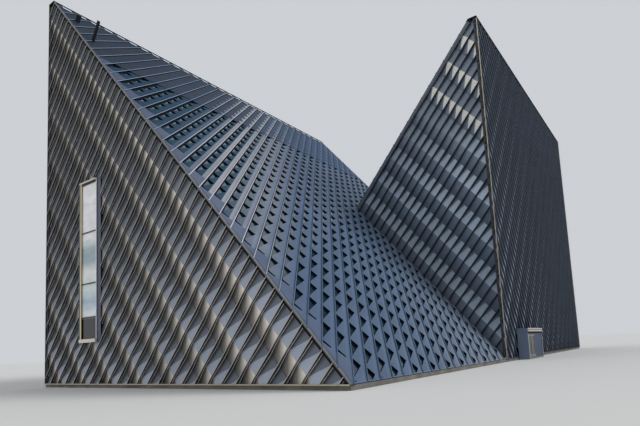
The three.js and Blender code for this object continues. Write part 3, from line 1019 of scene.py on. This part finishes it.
def corner_trim(shell):
    """The pale trim at the upright corner, in one tapered length from fin to fin."""
    step = FIN_PITCH / DIAGONAL
    v = FIN_FIRST / DIAGONAL - step
    while v < WALL_TOP:
        low, high = max(v, WALL_FOOT), min(v + step, WALL_TOP)
        front = [(CORNER_START, low), (CORNER_WIDE, low), (CORNER_NARROW, high), (CORNER_START, high)]
        behind = [(CORNER_NARROW, low), (CORNER_WIDE, low), (CORNER_TIP, high), (CORNER_NARROW, high)]
        shell.block(front, 0.0, CORNER_FRONT, "pale_trim", "pale_trim")
        shell.block(behind, CORNER_FRONT, CORNER_BACK, "pale_trim", "pale_trim")
        v += step


def long_walls():
    """The side wall with its doorway, and the back wall without one."""
    outline = rectangle(0, HALL_LENGTH, WALL_FOOT, WALL_TOP)
    doorway = (PORCH_START - HALL_SHIFT, PORCH_END - HALL_SHIFT, DOORWAY_FOOT, PORCH_HEIGHT - SLOPE_FOOT)
    side_nodes = ["side_wall_near", "side_wall_far", "side_wall_over_door"]
    for name, replaced, hole, turned in (
        ("side_wall_cladding", side_nodes, doorway, False),
        ("back_wall_cladding", ["back_wall"], None, True),
    ):
        shell = clad_wall(LONG_SIDE, outline, LONG_STYLE, hole)
        edge_bar(shell, outline[0], outline[1], "fin_side", FOOT_BAR_WIDTH)
        shell.piece(name, replaced, "dark_cladding", turned)


def porch_front():
    """The light edges of the entrance box's walls, and a near-black plate of painted shadow under its
    fascias.
    """
    shell = Shell(LONG_SIDE)
    near, far = PORCH_START - HALL_SHIFT, PORCH_END - HALL_SHIFT
    foot, head = -SLOPE_FOOT, PORCH_INSIDE - SLOPE_FOOT
    front, back = -PORCH_DEPTH - LINE_PROUD, -PORCH_DEPTH
    for start in (near, far - PORCH_WALL):
        edge = rectangle(start, start + PORCH_WALL, foot, head)
        shell.block(edge, front, back, "porch_edge", "porch_edge")
    shell.block(rectangle(near, far, head, head + PORCH_SHADOW_SLOT), front, back, "painted_shade", "painted_shade")
    shell.piece("porch_front_lines", [], "light_trim")


# Scales, fins and glass of the slopes


def box(u0, u1, s0, s1):
    """The half planes of a part of the slope."""
    return half_planes(rectangle(u0, u1, s0, s1))


# Parts of the slope: the thin sheets at its near edge, the rest, the closed plates beside that edge,
# the open scales, the closed band under the ridge, and the closed strips along the other edges
SLOPE_TOP = WALL_TOP / RISE
SLOPE_END = HALL_LENGTH - END_GAP
VALLEY_EDGE = VALLEY_S + VALLEY_MARGIN
NEAR_EDGE = [box(0, EDGE_MARGIN, 0, SLOPE_TOP)]
PAST_EDGE = [box(EDGE_MARGIN, HALL_SHIFT, 0, SLOPE_TOP), box(HALL_SHIFT, SLOPE_END, VALLEY_S, SLOPE_TOP)]
PLATES = box(EDGE_MARGIN, HALL_SHIFT, 0, GLAZED_TO)
GLAZED = [
    box(EDGE_MARGIN, HALL_SHIFT, FOOT_MARGIN, GLAZED_TO),
    box(HALL_SHIFT, SLOPE_END - FAR_MARGIN, VALLEY_EDGE, GLAZED_TO),
]
CLOSED_BAND = [box(EDGE_MARGIN, SLOPE_END, GLAZED_TO, SLOPE_TOP)]
CLOSED_EDGES = [
    box(PLATE_MARGIN, HALL_SHIFT, 0, FOOT_MARGIN),
    box(HALL_SHIFT, SLOPE_END, VALLEY_S, VALLEY_EDGE),
    box(SLOPE_END - FAR_MARGIN, SLOPE_END, VALLEY_EDGE, GLAZED_TO),
]
SLOPE_CORNERS = [(0, 0), (HALL_SHIFT, 0), (SLOPE_END, VALLEY_S), (SLOPE_END, SLOPE_TOP), (0, SLOPE_TOP)]


def scale_corner(along, over, depth):
    """A corner on the slope, with its place on the painted reflections and painted light."""
    h, v = SCALE_STRIPS.place(along, over)
    return (h, v, depth, (v - PAINTED_LIGHT_LEAN * h - PAINTED_LIGHT_LOW) / PAINTED_LIGHT_SPAN)


def apex_along(over, number, row):
    """How far along its strip an opening's tip lies: the tips stand in level rows."""
    s = (row + ROW_SHIFT - ROW_STAGGER * (number % 2)) * ROW_HEIGHT
    return (s * SLOPE_METRE - over * math.cos(SCALE_ANGLE)) / math.sin(SCALE_ANGLE)


def module_places(number, over, reach):
    """Where the modules of a strip start, from just before its reach to just past it."""
    first = apex_along(over, number, 0)
    low = math.floor((reach[0] - first) / SCALE_MODULE) - 1
    high = math.ceil((reach[1] - first) / SCALE_MODULE) + 1
    return [first + row * SCALE_MODULE for row in range(low, high)]


def apex_over(right, left):
    """Where the openings' tips lie across a strip."""
    return left - APEX_SHARE * (left - right)


def scale_cells(number, right, left, reach):
    """The scales of one strip, with an opening between each and the next."""
    over = apex_over(right, left)
    cells = []
    for apex in module_places(number, over, reach):
        fold_start = scale_corner(apex + FOLD_START, left - FOLD_GAP, FOLD_DEPTH)
        fold_end = scale_corner(apex + FOLD_END, left - FOLD_GAP, FOLD_DEPTH)
        foot = scale_corner(apex, over, APEX_DEPTH)
        top = scale_corner(apex + SCALE_MODULE, over, APEX_DEPTH)
        here = scale_corner(apex + SCALE_MODULE / 2, right, BAND_DEPTH)
        before = scale_corner(apex - SCALE_MODULE / 2, right, BAND_DEPTH)
        cells.append(([fold_start, fold_end, top, foot], "scale_fold"))
        cells.append(([foot, top, here], "scale_sheet"))
        cells.append(([foot, here, before], "scale_sheet"))
    return cells


def closed_cells(number, right, left, reach, paint, depth=CLOSED_DEPTH):
    """Closed sheets, with shallow folds where the openings would be."""
    cells = []
    for place in module_places(number, left, reach):
        upper = scale_corner(place, left, depth)
        upper_next = scale_corner(place + SCALE_MODULE, left, depth)
        lower = scale_corner(place + SCALE_MODULE / 2, right, depth + CLOSED_FOLD)
        lower_before = scale_corner(place - SCALE_MODULE / 2, right, depth + CLOSED_FOLD)
        cells.append(([upper, upper_next, lower], paint))
        cells.append(([upper, lower, lower_before], paint))
    return cells


def band_cells(number, right, left, reach):
    """The closed sheets under the ridge, with a row of teeth along each fin."""
    tip_over = right + TOOTH_SHARE * (left - right)
    cells = []
    for place in module_places(number, left, reach):
        upper = scale_corner(place, left, CLOSED_DEPTH)
        upper_next = scale_corner(place + SCALE_MODULE, left, CLOSED_DEPTH)
        tip = scale_corner(place, tip_over, CLOSED_DEPTH)
        tip_next = scale_corner(place + SCALE_MODULE, tip_over, CLOSED_DEPTH)
        lower = scale_corner(place + SCALE_MODULE / 2, right, CLOSED_DEPTH + CLOSED_FOLD)
        lower_before = scale_corner(place - SCALE_MODULE / 2, right, CLOSED_DEPTH + CLOSED_FOLD)
        cells.append(([upper, upper_next, tip_next, lower, tip], "band_sheet"))
        cells.append(([tip, lower, lower_before], "scale_sheet"))
    return cells


def plate_end(number, right, left):
    """How far along a strip the closed plate at the near edge reaches: up to the first opening."""
    along = apex_along(apex_over(right, left), number, 0) + FOLD_START
    while SCALE_STRIPS.place(along, left)[0] > PLATE_MARGIN:
        along -= SCALE_MODULE
    while SCALE_STRIPS.place(along, left)[0] < PLATE_MARGIN:
        along += SCALE_MODULE
    return along - PLATE_GAP


def along_limit(along, sign):
    """The half plane of the slope before (1) or past (-1) a place along the strips."""
    strips = SCALE_STRIPS
    a, b = strips.over[1] / strips.turn, -strips.over[0] / strips.turn
    return (sign * a, sign * b, sign * along)


def add_scales(shell, number, right, left, reach):
    """The sheets of one strip: open scales, closed sheets and the thin sheets at the near edge."""
    plate = plate_end(number, right, left)
    plates = [PLATES + [along_limit(plate, 1)]]
    past = [area + [along_limit(plate, -1)] for area in GLAZED]
    cells = clipped(scale_cells(number, right, left, reach), past)
    cells += clipped(band_cells(number, right, left, reach), CLOSED_BAND)
    cells += clipped(closed_cells(number, right, left, reach, "scale_sheet"), CLOSED_EDGES)
    cells += clipped(closed_cells(number, right, left, reach, "edge_sheet"), plates)
    shell.layer(cells, GLASS_DEPTH, "painted_shade")
    thin = clipped(closed_cells(number, right, left, reach, "edge_sheet", EDGE_DEPTH), NEAR_EDGE)
    shell.layer(thin, THIN_BACK, "pale_trim")
    # A near-black strip of painted shade along each fin, over the openings
    gap = bar(scale_corner, left - FOLD_GAP / 2, FOLD_GAP, GAP_DEPTH, reach)
    shell.layer(clipped([(gap, "painted_shade")], past), GLASS_DEPTH, "painted_shade")
    line = bar(scale_corner, left - SHADOW_LINE / 2, SHADOW_LINE, CLOSED_DEPTH - SHADOW_LIFT, reach)
    shell.layer(clipped([(line, "painted_shade")], CLOSED_BAND), GLASS_DEPTH, "painted_shade")


def add_slope_fin(shell, right, reach):
    """A fin of two plates, one with sides of near-black painted shade and one with light sides."""
    for share, rim in ((DARK_PLATE, "painted_shade"), (LIGHT_PLATE, "scale_edge")):
        plate = bar(scale_corner, right - SCALE_FIN * share, SCALE_FIN * PLATE_SHARE, 0.0, reach)
        shell.layer(clipped([(plate, "scale_edge")], NEAR_EDGE), THIN_BACK, rim)
        shell.layer(clipped([(plate, "scale_edge")], PAST_EDGE), GLASS_DEPTH, rim)


def level_u(over, s):
    """Where along the slope a level line crosses a line along the strips."""
    along = (s - over * SCALE_STRIPS.over[1]) / SCALE_STRIPS.along[1]
    return SCALE_STRIPS.place(along, over)[0]


def ridge_dash(shell, right, left):
    """A short light plate under the ridge, at the top of one strip."""
    low, high = SLOPE_TOP - DASH_BELOW - DASH_WIDTH, SLOPE_TOP - DASH_BELOW
    middle = (low + high) / 2
    start, end = level_u(left, middle), level_u(right, middle)
    u0, u1 = start + DASH_START * (end - start), start + DASH_END * (end - start)
    if u0 > DASH_MARGIN and u1 < SLOPE_END - DASH_MARGIN:
        shell.block(rectangle(u0, u1, low, high), 0.0, DASH_BACK, "dash", "painted_shade")


def slopes():
    numbers, start, end = strip_range(SCALE_STRIPS, SLOPE_CORNERS, SCALE_PITCH, SCALE_FIRST)
    for name, turned in (("front", False), ("rear", True)):
        scales, fins, panes = Shell(SLOPE_FACE), Shell(SLOPE_FACE), Shell(SLOPE_FACE)
        for number in numbers:
            right = SCALE_FIRST + number * SCALE_PITCH + SCALE_FIN / 2
            left = right + SCALE_PITCH - SCALE_FIN
            add_scales(scales, number, right, left, (start, end))
            add_slope_fin(fins, right, (start, end))
            ridge_dash(fins, right, left)
        for outline in (
            rectangle(EDGE_MARGIN, HALL_SHIFT, 0, SLOPE_TOP),
            rectangle(HALL_SHIFT, SLOPE_END, VALLEY_S, SLOPE_TOP),
        ):
            panes.block(outline, GLASS_DEPTH + GLASS_GAP, GLASS_BACK, "slope_glass", "painted_shade")
        replaced = [f"{name}_slope_glazing", f"{name}_valley_glazing", f"{name}_slope_roof"]
        scales.piece(f"{name}_slope_scales", replaced, "pale_cladding", turned)
        fins.piece(f"{name}_slope_fins", [], "pale_cladding", turned)
        panes.piece(f"{name}_slope_panes", [], "glass", turned)


# The nodes that stay: for each finish, words in the names of its nodes
NODE_FINISHES = {
    "black_metal": ["window_frame", "valley_gutter", "roof_vent", "roof_post", "door_frame"],
    # The ridge coping is near-black painted shade
    "painted_shade": ["ridge"],
    "window_trim": ["window_sill", "window_lintel"],
    "fin_edge": ["porch_fascia"],
    "leaf_metal": ["door_leaf", "door_pivot"],
    "window_glass": ["window_glass"],
    "door_dark": ["door_glass"],
    "porch_panel": ["porch_wall", "porch_roof"],
    "panel_dark": ["side_panel"],
    "concrete": ["plinth", "kerb", "floor_slab", "threshold", "doorway_sill"],
}


def finish_nodes():
    for name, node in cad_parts.items():
        for paint, words in NODE_FINISHES.items():
            if any(word in name for word in words):
                node.data.materials.clear()
                node.data.materials.append(finish(paint))


# Stage, light and camera


def stage():
    reach = FLOOR_REACH
    corners = [(-reach, -reach, 0), (reach, -reach, 0), (reach, reach, 0), (-reach, reach, 0)]
    data = bpy.data.meshes.new("stage_floor")
    data.from_pydata(corners, [], [(0, 1, 2, 3)])
    floor = bpy.data.objects.new("stage_floor", data)
    bpy.context.scene.collection.objects.link(floor)
    material, nodes, links, shader = new_material("stage_floor")
    shader.inputs["Base Color"].default_value = colour(*FLOOR_COLOUR)
    shader.inputs["Roughness"].default_value = FLOOR_ROUGH
    data.materials.append(material)
    floor.location.z = -FLOOR_DROP


def light():
    world = bpy.data.worlds.new("studio")
    bpy.context.scene.world = world
    world.use_nodes = True
    background = world.node_tree.nodes["Background"]
    background.inputs["Color"].default_value = colour(*SKY_COLOUR)
    background.inputs["Strength"].default_value = SKY_STRENGTH
    lamp = bpy.data.lights.new("key", "SUN")
    lamp.energy = LAMP_ENERGY
    lamp.angle = LAMP_SPREAD
    key = bpy.data.objects.new("key", lamp)
    key.rotation_euler = (LAMP_TILT, 0, LAMP_TURN)
    bpy.context.scene.collection.objects.link(key)
    bpy.context.scene.view_settings.view_transform = "Standard"


def camera():
    data = bpy.data.cameras.new("camera")
    data.sensor_width = SENSOR_WIDTH
    data.lens = CAMERA_FOCAL / IMAGE_WIDTH * SENSOR_WIDTH
    data.shift_x = (IMAGE_WIDTH / 2 - CAMERA_MIDDLE[0]) / IMAGE_WIDTH
    data.shift_y = (CAMERA_MIDDLE[1] - IMAGE_HEIGHT / 2) / IMAGE_WIDTH
    data.clip_end = CAMERA_REACH
    eye = bpy.data.objects.new("camera", data)
    bpy.context.scene.collection.objects.link(eye)
    heading = Vector((math.cos(CAMERA_HEADING), math.sin(CAMERA_HEADING), 0))
    level = Vector((math.sin(CAMERA_HEADING), -math.cos(CAMERA_HEADING), 0))
    forward = heading * math.cos(CAMERA_PITCH) + Vector((0, 0, math.sin(CAMERA_PITCH)))
    upward = -heading * math.sin(CAMERA_PITCH) + Vector((0, 0, math.cos(CAMERA_PITCH)))
    right = level * math.cos(CAMERA_ROLL) - upward * math.sin(CAMERA_ROLL)
    top = level * math.sin(CAMERA_ROLL) + upward * math.cos(CAMERA_ROLL)
    turn = Matrix((right, top, -forward)).transposed().to_4x4()
    x, y, z = CAMERA_PLACE
    spot = Vector((x - MIDDLE_X, y - MIDDLE_Y, z)) * MODEL_SCALE
    eye.matrix_world = Matrix.Translation(spot) @ turn
    bpy.context.scene.camera = eye


camera()
end_walls()
gables()
long_walls()
porch_front()
slopes()
finish_nodes()
stage()
light()
